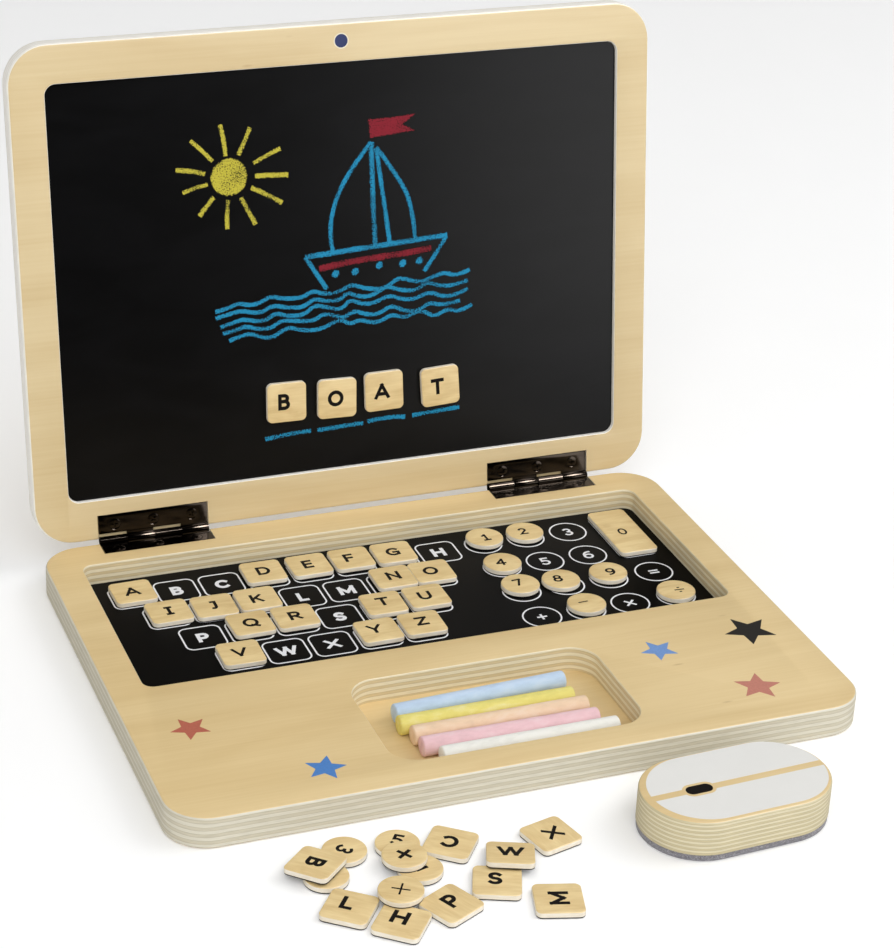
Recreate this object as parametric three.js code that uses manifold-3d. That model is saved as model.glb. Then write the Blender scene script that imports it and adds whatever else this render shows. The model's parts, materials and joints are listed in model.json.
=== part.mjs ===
// A wooden toy laptop: a plywood base with a magnetic keyboard and a chalk tray, a chalkboard lid on two
// butt hinges, loose magnetic keys, five sticks of chalk and a felt-soled board rubber shaped like a mouse.
// Millimetres. The origin is the middle of the base's underside, +X right, +Y towards the hinges, +Z up.
import * as THREE from "three";
import { mergeVertices } from "three/addons/utils/BufferGeometryUtils.js";
import Module from "manifold-3d";

const wasm = await Module();
wasm.setup();

// Driving dimensions
const bodyWidth = 300;
const bodyDepth = 226;
const bodyCorner = 18;
const glueLine = 0.1;
const openAngle = THREE.MathUtils.degToRad(98.2);

// Booleans cut this far past a face, and round pieces are made with this many sides
const past = 1;
const sides = { barrel: 16, pin: 12, screwHole: 10, key: 28, chalk: 20 };

const base = { board: 2.4, frame: 11.2, panel: 1.4, panelFit: 0.2 };
base.height = base.board + glueLine + base.frame;
base.panelTop = base.board + glueLine + base.panel;

const keyWell = { width: 269, depth: 108, corner: 5, x: 0, y: 40.3 };
const chalkTray = { width: 110.4, depth: 63.4, corner: 12, x: 0, y: -66.3 };

const lid = { frame: 7.9, backBoard: 2.4, boardSunk: 2, board: 5.8, boardFit: 0.2 };
const boardWindow = { width: 268, height: 189.5, corner: 5, fromEdge: 19 };

const hinge = {
  length: 50.8,
  left: -95.7,
  right: 94.1,
  baseLeaf: 10.7,
  lidLeaf: 12,
  leafThick: 1.2,
  barrel: 2.1,
  pin: 1,
  knuckles: 4,
  lidGap: 0.9,
  setback: 0.7,
  run: 0.3,
  notch: 1.2,
  mortiseFit: 0.5,
};
const screws = { spacing: 18, fromAxis: 7.4, hole: 1.3, head: 2.6, sink: 1 };

const key = { side: 18.7, round: 17.6, corner: 2.5, chamfer: 0.4, thick: 2.6, lift: 0.1 };
const letters = { rows: ["ABCDEFGH", "IJKLMNO", "PQRSTU", "VWXYZ"], x: -116.1, y: 77.7 };
letters.pitch = 20.85;
letters.rowShift = 10.25;
letters.rowPitch = 21.5;
const numbers = { columns: [52.7, 74.1, 95.7, 118.4], y: 79.1, rowPitch: 23.6 };
const zeroKey = { length: 41.6, x: 118.9, y: 68.5 };

const chalk = { length: 78, radius: 4.2, thinEnd: 3.9, round: 0.8 };
const mouse = { length: 80, width: 47, corner: 23.4, felt: 2.6, block: 14.8, x: 65.2, y: -154.7, turn: 2.7 };

const colours = {
  plywood: 0xdcc08f,
  key: 0xe3c792,
  blackBoard: 0x17181a,
  hinge: 0x2a2623,
  pin: 0x8f8b86,
  felt: 0x8e8a8c,
};

// How far each key lies from its printed place, and how far it is turned, in mm and degrees
const letterKeys = {
  A: [0.9, 0.6, 1.2],
  D: [-0.8, 1.9, -0.6],
  E: [0.1, 2, 0.8],
  F: [-0.2, 2.3, 0],
  G: [-0.6, 2, -0.8],
  I: [1.2, 0.7, 1],
  J: [0.7, -0.2, -0.7],
  K: [0, 0.5, 0.5],
  N: [1.8, 1.6, 0],
  O: [-0.2, 1.6, -0.4],
  Q: [1.2, 2, 1.5],
  R: [0.8, 2.1, 0],
  T: [0.1, 1.8, -0.5],
  U: [-0.1, 2.4, 0.6],
  V: [0.4, 0.6, -1],
  Y: [0.6, 1.5, 0.9],
  Z: [0.3, 2, -0.8],
};
const numberKeys = {
  1: [0, 0, 1.4, 2.2],
  2: [1, 0, 0.3, 2.1],
  4: [0, 1, 0.3, 0.7],
  7: [0, 2, 0.5, 3.2],
  8: [1, 2, -1.5, 1.9],
  9: [2, 2, 0.4, 2],
  minus: [1, 3, 0.8, 1.8],
  divide: [3, 3, 0.3, 1],
};
const boardKeys = { B: [-30.5, 54.3, -1], O: [-6.1, 53.2, -1.5], A: [16.9, 54, 0.5], T: [44.8, 53.1, 2.5] };
const looseSquares = {
  L: [-98.3, -166.6, -38],
  H: [-83, -180.7, -39],
  P: [-61.7, -176.2, -64],
  S: [-40.1, -168.2, -22],
  X: [-8.7, -145.9, -76],
  M: [-22.4, -185.6, -16],
  C: [-47.9, -139.4, -38],
};
const looseRounds = { 3: [-88.3, -131.9], 5: [-67.4, -133.6], 6: [-100.1, -145.3], equals: [-64.7, -151.6] };
const chalks = [
  ["blue", 0xb5cdec, -0.5, -50, 3.5],
  ["yellow", 0xe2d27c, -1.8, -60.9, 0.6],
  ["peach", 0xebc6a6, 1, -69.5, 1],
  ["pink", 0xe6c3c6, 1.6, -78.9, 0.2],
  ["white", 0xecebe4, 6.9, -87.7, 0.6],
];

// Shapes and solids
function roundedRectangle(width, depth, radius, x = 0, y = 0) {
  const w = width / 2 - radius;
  const d = depth / 2 - radius;
  const outline = new THREE.Shape();
  outline.absarc(x + w, y - d, radius, -Math.PI / 2, 0);
  outline.absarc(x + w, y + d, radius, 0, Math.PI / 2);
  outline.absarc(x - w, y + d, radius, Math.PI / 2, Math.PI);
  outline.absarc(x - w, y - d, radius, Math.PI, 1.5 * Math.PI);
  outline.closePath();
  return outline;
}

function slab(outline, low, high, curveSegments = 6) {
  const options = { depth: high - low, bevelEnabled: false, curveSegments };
  return new THREE.ExtrudeGeometry(outline, options).translate(0, 0, low);
}

function chamferedSlab(outline, low, high, chamfer, curveSegments) {
  const depth = high - low - 2 * chamfer;
  const bevel = { bevelSize: chamfer, bevelThickness: chamfer, bevelOffset: -chamfer, bevelSegments: 1 };
  const tile = new THREE.ExtrudeGeometry(outline, { depth, curveSegments, ...bevel });
  return tile.translate(0, 0, low + chamfer);
}

function box(lowX, highX, lowY, highY, lowZ, highZ) {
  const middle = [(lowX + highX) / 2, (lowY + highY) / 2, (lowZ + highZ) / 2];
  return new THREE.BoxGeometry(highX - lowX, highY - lowY, highZ - lowZ).translate(...middle);
}

function rodAlongX(radius, lowX, highX, around = sides.barrel) {
  const rod = new THREE.CylinderGeometry(radius, radius, highX - lowX, around).rotateZ(Math.PI / 2);
  return rod.translate((lowX + highX) / 2, 0, 0);
}

function turned(profile, around) {
  const points = profile.map(([r, z]) => new THREE.Vector2(r, z));
  return new THREE.LatheGeometry(points, around).rotateX(Math.PI / 2);
}

function solid(geometry) {
  const bare = geometry.index ? geometry.toNonIndexed() : geometry.clone();
  bare.deleteAttribute("normal");
  bare.deleteAttribute("uv");
  const merged = mergeVertices(bare, 1e-4);
  const vertProperties = merged.attributes.position.array;
  const triVerts = new Uint32Array(merged.index.array);
  return new wasm.Manifold(new wasm.Mesh({ numProp: 3, vertProperties, triVerts }));
}

function geometryOf(manifold) {
  const mesh = manifold.getMesh();
  const geometry = new THREE.BufferGeometry();
  geometry.setAttribute("position", new THREE.BufferAttribute(mesh.vertProperties, 3));
  geometry.setIndex(new THREE.BufferAttribute(mesh.triVerts, 1));
  geometry.computeVertexNormals();
  return geometry;
}

function part(name, geometry, color, roughness = 0.6, metalness = 0) {
  const mesh = new THREE.Mesh(geometry, new THREE.MeshStandardMaterial({ color, roughness, metalness }));
  mesh.name = name;
  return mesh;
}

const laptop = new THREE.Group();
const axisHeight = base.height + hinge.lidGap / 2;
const lidGroup = new THREE.Group();
lidGroup.position.set(0, bodyDepth / 2 + hinge.setback, axisHeight);
lidGroup.rotation.x = Math.PI - openAngle;
laptop.add(lidGroup);

// Both plywood frames are let in for the hinge leaves, and hollowed where the hinge barrel turns. face is the
// height of the frame's face over the hinge axis, and side is which way along Y the frame lies from the axis.
const leafWidth = (side) => (side < 0 ? hinge.baseLeaf : hinge.lidLeaf);
function hingeSeats(side, face) {
  const seats = [];
  const reach = side * (leafWidth(side) + hinge.run);
  const [lowY, highY] = [Math.min(0, reach), Math.max(0, reach)];
  const depth = hinge.leafThick + glueLine;
  for (const centre of [hinge.left, hinge.right]) {
    const left = centre - hinge.length / 2 - hinge.mortiseFit;
    const right = centre + hinge.length / 2 + hinge.mortiseFit;
    seats.push(solid(box(left, right, lowY, highY, face - depth, face + past)));
    seats.push(solid(rodAlongX(hinge.barrel + hinge.run, left, right)));
  }
  return seats;
}

// The base: a plywood frame with two windows over a thin bottom board, with a printed steel sheet in one
function addBase() {
  const outline = roundedRectangle(bodyWidth, bodyDepth, bodyCorner);
  const well = roundedRectangle(keyWell.width, keyWell.depth, keyWell.corner, keyWell.x, keyWell.y);
  const tray = roundedRectangle(chalkTray.width, chalkTray.depth, chalkTray.corner, chalkTray.x, chalkTray.y);
  laptop.add(part("base_bottom_board", slab(outline, 0, base.board), colours.plywood));
  const pierced = roundedRectangle(bodyWidth, bodyDepth, bodyCorner);
  pierced.holes.push(well, tray);
  let frame = solid(slab(pierced, base.board + glueLine, base.height));
  const toAxis = [0, bodyDepth / 2 + hinge.setback, axisHeight];
  for (const seat of hingeSeats(-1, base.height - axisHeight)) frame = frame.subtract(seat.translate(toAxis));
  laptop.add(part("base_frame", geometryOf(frame), colours.plywood));
  const fit = 2 * base.panelFit;
  const sheet = roundedRectangle(
    keyWell.width - fit,
    keyWell.depth - fit,
    keyWell.corner - base.panelFit,
    keyWell.x,
    keyWell.y,
  );
  const panel = slab(sheet, base.board + glueLine, base.panelTop);
  laptop.add(part("keyboard_panel", panel, colours.blackBoard, 0.45));
}

// The lid, in its own frame: X right, Y up from the hinge axis, Z out of the face that shows the chalkboard
const lidFace = -hinge.lidGap / 2;
const boardFace = lidFace - lid.boardSunk;
function addLid() {
  const middle = hinge.setback + bodyDepth / 2;
  const windowMiddle = hinge.setback + boardWindow.fromEdge + boardWindow.height / 2;
  const frameBack = lidFace - lid.frame;
  const outline = roundedRectangle(bodyWidth, bodyDepth, bodyCorner, 0, middle);
  const backBoard = slab(outline, frameBack - glueLine - lid.backBoard, frameBack - glueLine);
  lidGroup.add(part("lid_back_board", backBoard, colours.plywood));
  const pierced = roundedRectangle(bodyWidth, bodyDepth, bodyCorner, 0, middle);
  const { width, height, corner } = boardWindow;
  pierced.holes.push(roundedRectangle(width, height, corner, 0, windowMiddle));
  let frame = solid(slab(pierced, frameBack, lidFace));
  for (const seat of hingeSeats(1, lidFace)) frame = frame.subtract(seat);
  lidGroup.add(part("lid_frame", geometryOf(frame), colours.plywood));
  const fit = 2 * lid.boardFit;
  const face = roundedRectangle(width - fit, height - fit, corner - lid.boardFit, 0, windowMiddle);
  const chalkboard = slab(face, boardFace - lid.board, boardFace);
  lidGroup.add(part("chalkboard_panel", chalkboard, colours.blackBoard, 0.35));
}

// One hinge leaf about its own axis. side is +1 or -1 along Y, and odd says which knuckles it carries.
function hingeLeaf(side, odd) {
  const half = hinge.length / 2;
  const top = lidFace;
  const edge = side * leafWidth(side);
  const [lowY, highY] = [Math.min(0, edge), Math.max(0, edge)];
  let leaf = solid(box(-half, half, lowY, highY, top - hinge.leafThick, top));
  const knuckle = hinge.length / hinge.knuckles;
  const notch = hinge.barrel + hinge.notch;
  for (let i = 0; i < hinge.knuckles; i++) {
    const low = -half + i * knuckle;
    const high = low + knuckle;
    const gapLow = i > 0 ? hinge.run / 2 : 0;
    const gapHigh = i < hinge.knuckles - 1 ? hinge.run / 2 : 0;
    if (i % 2 === odd) {
      leaf = leaf.add(solid(rodAlongX(hinge.barrel, low + gapLow, high - gapHigh)));
    } else {
      const cutLow = i > 0 ? low - gapLow : low - past;
      const cutHigh = i < hinge.knuckles - 1 ? high + gapHigh : high + past;
      leaf = leaf.subtract(solid(box(cutLow, cutHigh, -notch, notch, -notch, notch)));
    }
  }
  leaf = leaf.subtract(solid(rodAlongX(hinge.pin + hinge.run, -half - past, half + past)));
  const bottom = top - hinge.leafThick - past;
  const flare = screws.head + (past * (screws.head - screws.hole)) / screws.sink;
  const countersink = [
    [0, bottom],
    [screws.hole, bottom],
    [screws.hole, top - screws.sink],
    [flare, top + past],
    [0, top + past],
  ];
  for (const x of [-screws.spacing, 0, screws.spacing]) {
    const hole = solid(turned(countersink, sides.screwHole));
    leaf = leaf.subtract(hole.translate([x, side * screws.fromAxis, 0]));
  }
  return geometryOf(leaf);
}

function addHinges() {
  for (const [where, x] of [["left", hinge.left], ["right", hinge.right]]) {
    const baseLeaf = part(`hinge_base_leaf_${where}`, hingeLeaf(-1, 0), colours.hinge, 0.25, 0.9);
    baseLeaf.position.set(x, bodyDepth / 2 + hinge.setback, axisHeight);
    const lidLeaf = part(`hinge_lid_leaf_${where}`, hingeLeaf(1, 1), colours.hinge, 0.25, 0.9);
    lidLeaf.position.x = x;
    const half = hinge.length / 2;
    const pin = part(`hinge_pin_${where}`, rodAlongX(hinge.pin, -half, half, sides.pin), colours.pin, 0.3, 1);
    pin.position.copy(baseLeaf.position);
    laptop.add(baseLeaf, pin);
    lidGroup.add(lidLeaf);
  }
}

// Keys: a wooden tile on a magnetic sheet, square, round or long
function squareKey(width = key.side, depth = key.side) {
  return chamferedSlab(roundedRectangle(width, depth, key.corner), 0, key.thick, key.chamfer, 2);
}

function roundKey() {
  const r = key.round / 2;
  const c = key.chamfer;
  const profile = [
    [0, 0],
    [r, 0],
    [r, key.thick - c],
    [r - c, key.thick],
    [0, key.thick],
  ];
  return turned(profile, sides.key);
}

function place(mesh, x, y, z, degrees = 0) {
  mesh.position.set(x, y, z);
  mesh.rotation.z = THREE.MathUtils.degToRad(degrees);
  return mesh;
}

function addKeys() {
  const onPanel = base.panelTop + key.lift;
  letters.rows.forEach((row, r) => {
    [...row].forEach((letter, c) => {
      if (!letterKeys[letter]) return;
      const [dx, dy, turn] = letterKeys[letter];
      const x = letters.x + r * letters.rowShift + c * letters.pitch + dx;
      const y = letters.y - r * letters.rowPitch + dy;
      laptop.add(place(part(`key_${letter}`, squareKey(), colours.key), x, y, onPanel, turn));
    });
  });
  for (const [name, [column, row, dx, dy]] of Object.entries(numberKeys)) {
    const x = numbers.columns[column] + dx;
    const y = numbers.y - row * numbers.rowPitch + dy;
    laptop.add(place(part(`key_${name}`, roundKey(), colours.key), x, y, onPanel));
  }
  const zero = part("key_0", squareKey(key.side, zeroKey.length), colours.key);
  laptop.add(place(zero, zeroKey.x, zeroKey.y, onPanel));
  for (const [letter, [x, y, turn]] of Object.entries(boardKeys)) {
    const tile = part(`board_key_${letter}`, squareKey(), colours.key);
    lidGroup.add(place(tile, x, hinge.setback + y, boardFace + key.lift, turn));
  }
  for (const [letter, [x, y, turn]] of Object.entries(looseSquares)) {
    laptop.add(place(part(`loose_key_${letter}`, squareKey(), colours.key), x, y, 0, turn));
  }
  for (const [name, [x, y]] of Object.entries(looseRounds)) {
    laptop.add(place(part(`loose_key_${name}`, roundKey(), colours.key), x, y, 0));
  }
}

function addChalks() {
  const { length, radius, thinEnd, round } = chalk;
  const profile = [
    [0, -length / 2],
    [radius - round, -length / 2],
    [radius, -length / 2 + round],
    [thinEnd, length / 2 - round],
    [thinEnd - round, length / 2],
    [0, length / 2],
  ];
  for (const [colour, hex, x, y, turn] of chalks) {
    const stick = turned(profile, sides.chalk).rotateY(Math.PI / 2);
    laptop.add(place(part(`chalk_${colour}`, stick, hex, 0.95), x, y, base.board + glueLine + radius, turn));
  }
}

function addMouse() {
  const outline = roundedRectangle(mouse.length, mouse.width, mouse.corner);
  const felt = part("mouse_felt", slab(outline, 0, mouse.felt, 10), colours.felt, 1);
  const bottom = mouse.felt + glueLine;
  const block = part("mouse_block", slab(outline, bottom, bottom + mouse.block, 10), colours.plywood);
  laptop.add(place(felt, mouse.x, mouse.y, 0, mouse.turn), place(block, mouse.x, mouse.y, 0, mouse.turn));
}

addBase();
addLid();
addHinges();
addKeys();
addChalks();
addMouse();

export default laptop;
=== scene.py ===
import itertools
import json
import math
import random

import bmesh
import bpy
from mathutils import Matrix, Vector


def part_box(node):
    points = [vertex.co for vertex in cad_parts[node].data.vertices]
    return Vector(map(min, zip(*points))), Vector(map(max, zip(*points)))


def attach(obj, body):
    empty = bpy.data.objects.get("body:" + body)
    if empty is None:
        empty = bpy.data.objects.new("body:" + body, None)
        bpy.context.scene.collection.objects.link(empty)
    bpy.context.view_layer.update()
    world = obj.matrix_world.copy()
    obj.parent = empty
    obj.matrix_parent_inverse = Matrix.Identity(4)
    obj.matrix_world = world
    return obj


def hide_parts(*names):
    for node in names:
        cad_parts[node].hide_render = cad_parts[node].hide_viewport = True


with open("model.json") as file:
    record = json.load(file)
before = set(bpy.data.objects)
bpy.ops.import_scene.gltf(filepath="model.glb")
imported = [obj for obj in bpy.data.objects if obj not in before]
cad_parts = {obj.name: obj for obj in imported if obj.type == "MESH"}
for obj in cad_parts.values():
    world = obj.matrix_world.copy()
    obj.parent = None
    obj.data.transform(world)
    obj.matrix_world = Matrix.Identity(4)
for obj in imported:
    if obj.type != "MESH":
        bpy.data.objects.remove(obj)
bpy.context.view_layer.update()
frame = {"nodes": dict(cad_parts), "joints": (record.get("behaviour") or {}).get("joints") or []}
nodes = frame["nodes"]
joints = {joint["name"]: joint for joint in frame["joints"]}
random.seed(7)
mm = 0.001
hair = 0.02  # millimetres: the glue line between two boards, and how deep a printed coat starts
print("frame loaded:", len(nodes), "CAD nodes")

# Camera, floor and light
stage = {
    "azimuth": 21.99,
    "pitch": 26.2,
    "roll": 2.53,
    "eye": (-0.3693, -0.9066, 0.5773),
    "lens": 98.88,
    "shift": (0.0080, -0.0217),
    "floor": "#FFFFFF",
    "world": "#FFFFFF",
    "worldStrength": 0.62,
}

bpy.ops.object.camera_add(location=stage["eye"])
camera = bpy.context.object
turnLeft = Matrix.Rotation(-math.radians(stage["azimuth"]), 3, "Z")
lookDown = Matrix.Rotation(math.radians(90 - stage["pitch"]), 3, "X")
rollOver = Matrix.Rotation(math.radians(stage["roll"]), 3, "Z")
camera.rotation_euler = (turnLeft @ lookDown @ rollOver).to_euler()
camera.data.lens = stage["lens"]
camera.data.shift_x, camera.data.shift_y = stage["shift"]
bpy.context.scene.camera = camera
bpy.context.scene.view_settings.view_transform = "Standard"


# Helpers
def linearColour(hexColour):
    channels = [int(hexColour[i : i + 2], 16) / 255 for i in (1, 3, 5)]
    return (*[c / 12.92 if c <= 0.04045 else ((c + 0.055) / 1.055) ** 2.4 for c in channels], 1)


def addNode(material, kind, inputs=None, stops=None, **settings):
    node = material.node_tree.nodes.new(kind)
    for name, value in settings.items():
        setattr(node, name, value)
    for name, value in (inputs or {}).items():
        if isinstance(value, bpy.types.NodeSocket):
            material.node_tree.links.new(value, node.inputs[name])
        else:
            node.inputs[name].default_value = value
    if stops:
        while len(node.color_ramp.elements) < len(stops):
            node.color_ramp.elements.new(1)
        for element, (place, colour) in zip(node.color_ramp.elements, stops):
            element.position = place
            element.color = colour
    return node


def newMaterial(name):
    material = bpy.data.materials.new(name)
    material.use_nodes = True
    material.node_tree.nodes.clear()
    return material


def finishMaterial(material, shader):
    addNode(material, "ShaderNodeOutputMaterial", {"Surface": shader.outputs[0]})
    return material


def millimetres(material, place=None):
    # Coordinates in millimetres: of the whole toy, of a turned board, or of a key as it was cut
    if place == "grainPlace":
        return addNode(material, "ShaderNodeAttribute", attribute_name="grainPlace").outputs["Vector"]
    lie = {"Scale": (mm, mm, mm)}
    if place:
        lie["Location"], lie["Rotation"] = place
    where = addNode(material, "ShaderNodeTexCoord").outputs["Object"]
    return addNode(material, "ShaderNodeMapping", {"Vector": where, **lie}, vector_type="TEXTURE").outputs[0]


def stretched(material, where, x, y, z):
    # x, y and z are the size in millimetres of one feature of the pattern along each axis
    lie = {"Vector": where, "Scale": (1 / x, 1 / y, 1 / z)}
    return addNode(material, "ShaderNodeMapping", lie).outputs[0]


def grey(level):
    return (level, level, level, 1)


# The lid's own lie: its axis is the hinge, and it leans back from upright
lidHinge = joints["lid_hinge"]
hingeAxis = Vector(lidHinge["pos_m"])
lidTurn = math.pi + math.radians(lidHinge["range_deg"][0])
lidPlace = Matrix.Translation(hingeAxis) @ Matrix.Rotation(lidTurn, 4, "X")
lidLie = (tuple(hingeAxis), (lidTurn, 0, 0))


# Materials
def makeVeneer(name, light, dark, place, streak=(70, 1.4), figure=(160, 26), knots=0.5, roughness=0.48):
    # Rotary cut birch veneer under a satin lacquer: pale and even, faint streaks, the odd small brown knot
    material = newMaterial(name)
    where = millimetres(material, place)
    fineWay = stretched(material, where, streak[0], streak[1], streak[1])
    wideWay = stretched(material, where, figure[0], figure[1], figure[1])
    fine = addNode(
        material,
        "ShaderNodeTexNoise",
        {"Vector": fineWay, "Scale": 1, "Detail": 5, "Roughness": 0.62},
    )
    wide = addNode(
        material, "ShaderNodeTexNoise", {"Vector": wideWay, "Scale": 1, "Detail": 3, "Distortion": 0.8}
    )
    grain = addNode(
        material,
        "ShaderNodeMath",
        {0: fine.outputs[0], 1: 0.45, 2: wide.outputs[0]},
        operation="MULTIPLY_ADD",
    )
    tone = addNode(
        material,
        "ShaderNodeValToRGB",
        {"Fac": grain.outputs[0]},
        [(0.46, linearColour(dark)), (0.92, linearColour(light))],
    )
    fleckWay = stretched(material, where, 64, 17, 17)
    fleck = addNode(material, "ShaderNodeTexVoronoi", {"Vector": fleckWay, "Scale": 1, "Randomness": 1})
    spot = addNode(
        material,
        "ShaderNodeValToRGB",
        {"Fac": fleck.outputs["Distance"]},
        [(0.0, grey(knots)), (0.05, grey(0))],
    )
    colour = addNode(
        material,
        "ShaderNodeMix",
        {0: spot.outputs[0], 6: tone.outputs[0], 7: linearColour("#A98455")},
        data_type="RGBA",
    )
    bump = addNode(
        material, "ShaderNodeBump", {"Height": fine.outputs[0], "Strength": 0.06, "Distance": 0.0002}
    )
    shader = addNode(
        material,
        "ShaderNodeBsdfPrincipled",
        {"Base Color": colour.outputs[2], "Roughness": roughness, "Normal": bump.outputs[0]},
    )
    return finishMaterial(material, shader)


def makePlyEdge(name, place, pair, start, light="#DDD7C5", middle="#D1C9B2", line="#BCB296"):
    # The sanded edge of birch plywood: every other ply shows end grain, so it is a little darker
    material = newMaterial(name)
    where = millimetres(material, place)
    parts = addNode(material, "ShaderNodeSeparateXYZ", {"Vector": where})
    waver = addNode(
        material,
        "ShaderNodeTexNoise",
        {"Vector": stretched(material, where, 30, 30, 6), "Scale": 1, "Detail": 2},
    )
    lifted = addNode(
        material,
        "ShaderNodeMath",
        {0: waver.outputs[0], 1: 0.22 * pair, 2: parts.outputs[2]},
        operation="MULTIPLY_ADD",
    )
    counted = addNode(material, "ShaderNodeMath", {0: lifted.outputs[0], 1: -start}, operation="ADD")
    plies = addNode(
        material, "ShaderNodeMath", {0: counted.outputs[0], 1: 1 / pair}, operation="MULTIPLY"
    )
    ply = addNode(material, "ShaderNodeMath", {0: plies.outputs[0]}, operation="FRACT")
    tone = addNode(
        material,
        "ShaderNodeValToRGB",
        {"Fac": ply.outputs[0]},
        [
            (0.0, linearColour(line)),
            (0.07, linearColour(light)),
            (0.5, linearColour(light)),
            (0.56, linearColour(line)),
            (0.63, linearColour(middle)),
            (0.94, linearColour(middle)),
            (1.0, linearColour(line)),
        ],
    )
    fibre = addNode(
        material,
        "ShaderNodeTexNoise",
        {"Vector": stretched(material, where, 7, 7, 0.35), "Scale": 1, "Detail": 4, "Roughness": 0.6},
    )
    shade = addNode(
        material,
        "ShaderNodeValToRGB",
        {"Fac": fibre.outputs[0]},
        [(0.3, grey(0.8)), (0.62, grey(1))],
    )
    colour = addNode(
        material,
        "ShaderNodeMix",
        {0: 0.8, 6: tone.outputs[0], 7: shade.outputs[0]},
        data_type="RGBA",
        blend_type="MULTIPLY",
    )
    bump = addNode(
        material, "ShaderNodeBump", {"Height": tone.outputs[0], "Strength": 0.25, "Distance": 0.0002}
    )
    shader = addNode(
        material,
        "ShaderNodeBsdfPrincipled",
        {"Base Color": colour.outputs[2], "Roughness": 0.62, "Normal": bump.outputs[0]},
    )
    return finishMaterial(material, shader)


def makePaint(
    name, colour, roughness, speck=1.6, depth=0.04, variation=0.12, place=None, gloss=0.5, glow=0
):
    # A rolled or printed coat: one colour, a little mottled, with the faint orange peel of the roller
    material = newMaterial(name)
    where = millimetres(material, place)
    peel = addNode(
        material,
        "ShaderNodeTexNoise",
        {"Vector": stretched(material, where, speck, speck, speck), "Scale": 1, "Detail": 3},
    )
    base = linearColour(colour)
    darker = (*[c * (1 - variation) for c in base[:3]], 1)
    tone = addNode(
        material, "ShaderNodeValToRGB", {"Fac": peel.outputs[0]}, [(0.3, darker), (0.7, base)]
    )
    bump = addNode(
        material, "ShaderNodeBump", {"Height": peel.outputs[0], "Strength": depth, "Distance": 0.0002}
    )
    shader = addNode(
        material,
        "ShaderNodeBsdfPrincipled",
        {
            "Base Color": tone.outputs[0],
            "Roughness": roughness,
            "Specular IOR Level": gloss,
            "Emission Color": tone.outputs[0],
            "Emission Strength": glow,
            "Normal": bump.outputs[0],
        },
    )
    return finishMaterial(material, shader)


def makeBlackboard():
    # Blackboard paint on steel sheet: near black and smooth, with a thin haze of rubbed-out chalk
    material = newMaterial("blackboardPaint")
    where = millimetres(material, lidLie)
    haze = addNode(
        material,
        "ShaderNodeTexNoise",
        {"Vector": stretched(material, where, 60, 22, 22), "Scale": 1, "Detail": 6, "Distortion": 1.2},
    )
    tone = addNode(
        material,
        "ShaderNodeValToRGB",
        {"Fac": haze.outputs[0]},
        [(0.35, linearColour("#060607")), (0.8, linearColour("#0D0D0F"))],
    )
    grit = addNode(
        material,
        "ShaderNodeTexNoise",
        {"Vector": stretched(material, where, 0.7, 0.7, 0.7), "Scale": 1, "Detail": 2},
    )
    bump = addNode(
        material, "ShaderNodeBump", {"Height": grit.outputs[0], "Strength": 0.05, "Distance": 0.0002}
    )
    shader = addNode(
        material,
        "ShaderNodeBsdfPrincipled",
        {
            "Base Color": tone.outputs[0],
            "Roughness": 0.28,
            "Specular IOR Level": 0.2,
            "Normal": bump.outputs[0],
        },
    )
    return finishMaterial(material, shader)


def makeBlackNickel():
    # Black nickel plate on pressed steel: dark mirror with brown in it, slightly uneven from the rolling
    material = newMaterial("blackNickel")
    where = millimetres(material)
    roll = addNode(
        material,
        "ShaderNodeTexNoise",
        {"Vector": stretched(material, where, 9, 2.5, 2.5), "Scale": 1, "Detail": 3},
    )
    tone = addNode(
        material,
        "ShaderNodeValToRGB",
        {"Fac": roll.outputs[0]},
        [(0.35, linearColour("#2B2622")), (0.7, linearColour("#38322C"))],
    )
    gloss = addNode(
        material, "ShaderNodeValToRGB", {"Fac": roll.outputs[0]}, [(0.3, grey(0.1)), (0.75, grey(0.2))]
    )
    bump = addNode(
        material, "ShaderNodeBump", {"Height": roll.outputs[0], "Strength": 0.08, "Distance": 0.0003}
    )
    shader = addNode(
        material,
        "ShaderNodeBsdfPrincipled",
        {
            "Base Color": tone.outputs[0],
            "Metallic": 1.0,
            "Roughness": gloss.outputs[0],
            "Normal": bump.outputs[0],
        },
    )
    return finishMaterial(material, shader)


def makeBrightSteel():
    # Drawn steel wire, bright where the knuckles rub it
    material = newMaterial("brightSteelPin")
    where = millimetres(material)
    draw = addNode(
        material,
        "ShaderNodeTexNoise",
        {"Vector": stretched(material, where, 12, 0.4, 0.4), "Scale": 1, "Detail": 2},
    )
    tone = addNode(
        material,
        "ShaderNodeValToRGB",
        {"Fac": draw.outputs[0]},
        [(0.3, linearColour("#8E8B87")), (0.7, linearColour("#C9C6C1"))],
    )
    shader = addNode(
        material,
        "ShaderNodeBsdfPrincipled",
        {"Base Color": tone.outputs[0], "Metallic": 1.0, "Roughness": 0.22},
    )
    return finishMaterial(material, shader)


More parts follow.
